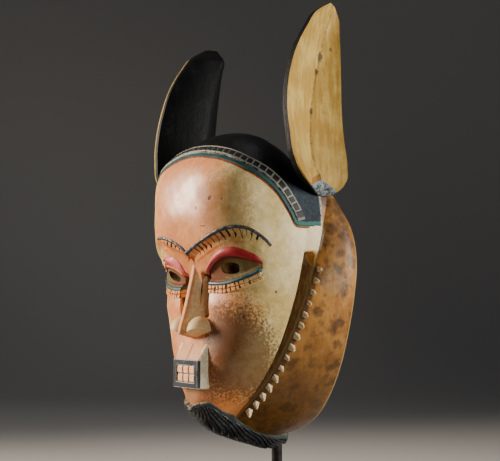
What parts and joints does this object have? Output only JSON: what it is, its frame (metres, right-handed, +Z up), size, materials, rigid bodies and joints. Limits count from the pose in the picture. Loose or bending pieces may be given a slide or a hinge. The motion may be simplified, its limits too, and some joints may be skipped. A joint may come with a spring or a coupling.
{
  "type": "carved face mask on a stand",
  "caption": "Carved and painted wooden face mask with tall cupped ears and a square toothed mouth, held by a steel rod on a foot plate.",
  "frame": {"origin": "centre of the foot plate's underside", "axes": "+Z up, the mask faces -Y, +X towards the mask's own left"},
  "size_m": [0.2064, 0.1645, 0.471],
  "materials": {
    "painted_wood": "waxed paint",
    "black_steel": "blackened",
    "black_plate": "blackened"
  },
  "bodies": {
    "root": {"mask": "painted_wood", "stand_rod": "black_steel", "stand_foot": "black_plate"}
  },
  "joints": []
}
